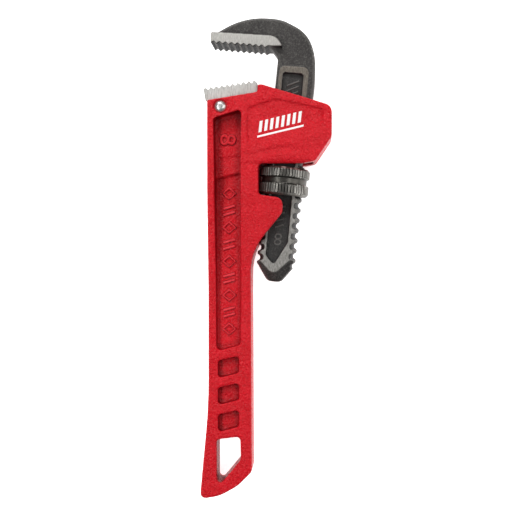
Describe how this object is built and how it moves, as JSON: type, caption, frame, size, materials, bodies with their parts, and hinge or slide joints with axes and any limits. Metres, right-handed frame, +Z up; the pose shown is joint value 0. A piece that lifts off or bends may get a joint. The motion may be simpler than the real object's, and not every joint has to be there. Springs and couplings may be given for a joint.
{
  "type": "pipe wrench",
  "caption": "Straight adjustable pipe wrench with a cast handle and housing, a toothed heel jaw, a sliding hook jaw on a threaded shank and a knurled adjusting nut.",
  "frame": {"origin": "under the middle of the bounding box, with the wrench lying on its side", "axes": "+X from the jaw mouth to the back of the housing, +Y along the handle towards the jaws, +Z up through the thickness"},
  "size_m": [0.0501, 0.184, 0.0192],
  "materials": {
    "painted_casting": "gloss red enamel over fine cast texture",
    "hardened_steel": "light grey, blasted and cut teeth",
    "bright_pin": "polished",
    "forged_steel": "dark forged skin with ground flats",
    "blackened_steel": "black oxide, knurled",
    "spring_steel": "oiled spring steel"
  },
  "bodies": {
    "handle": {"handle_body": "painted_casting", "heel_jaw": "hardened_steel", "heel_jaw_pin": "bright_pin", "coil_spring": "spring_steel", "spring_rivet": "spring_steel"},
    "rocker": {"leaf_spring": "spring_steel"},
    "hook": {"hook_jaw": "forged_steel"},
    "nut": {"adjusting_nut": "blackened_steel"}
  },
  "joints": [
    {"name": "jaw_rock", "type": "hinge", "parent": "handle", "child": "rocker", "pos_m": [0.00685, 0.02995, 0.0096], "axis": [0, 0, 1], "range_deg": [0, 3.5], "stiffness_Nm_per_rad": 1.5, "springref_deg": -5.73, "deforming": ["coil_spring"]},
    {"name": "hook_slide", "type": "slide", "parent": "rocker", "child": "hook", "axis": [0.0993, 0.9951, 0], "range_m": [-0.0113, 0.019]},
    {"name": "nut_spin", "type": "hinge", "parent": "rocker", "child": "nut", "pos_m": [0.00685, 0.02995, 0.0096], "axis": [0.0993, 0.9951, 0], "range_deg": [-1755, 1045]}
  ],
  "couplings": [
    {"joint": "nut_spin", "follows": "hook_slide", "rad_per_m": -1611.1}
  ]
}
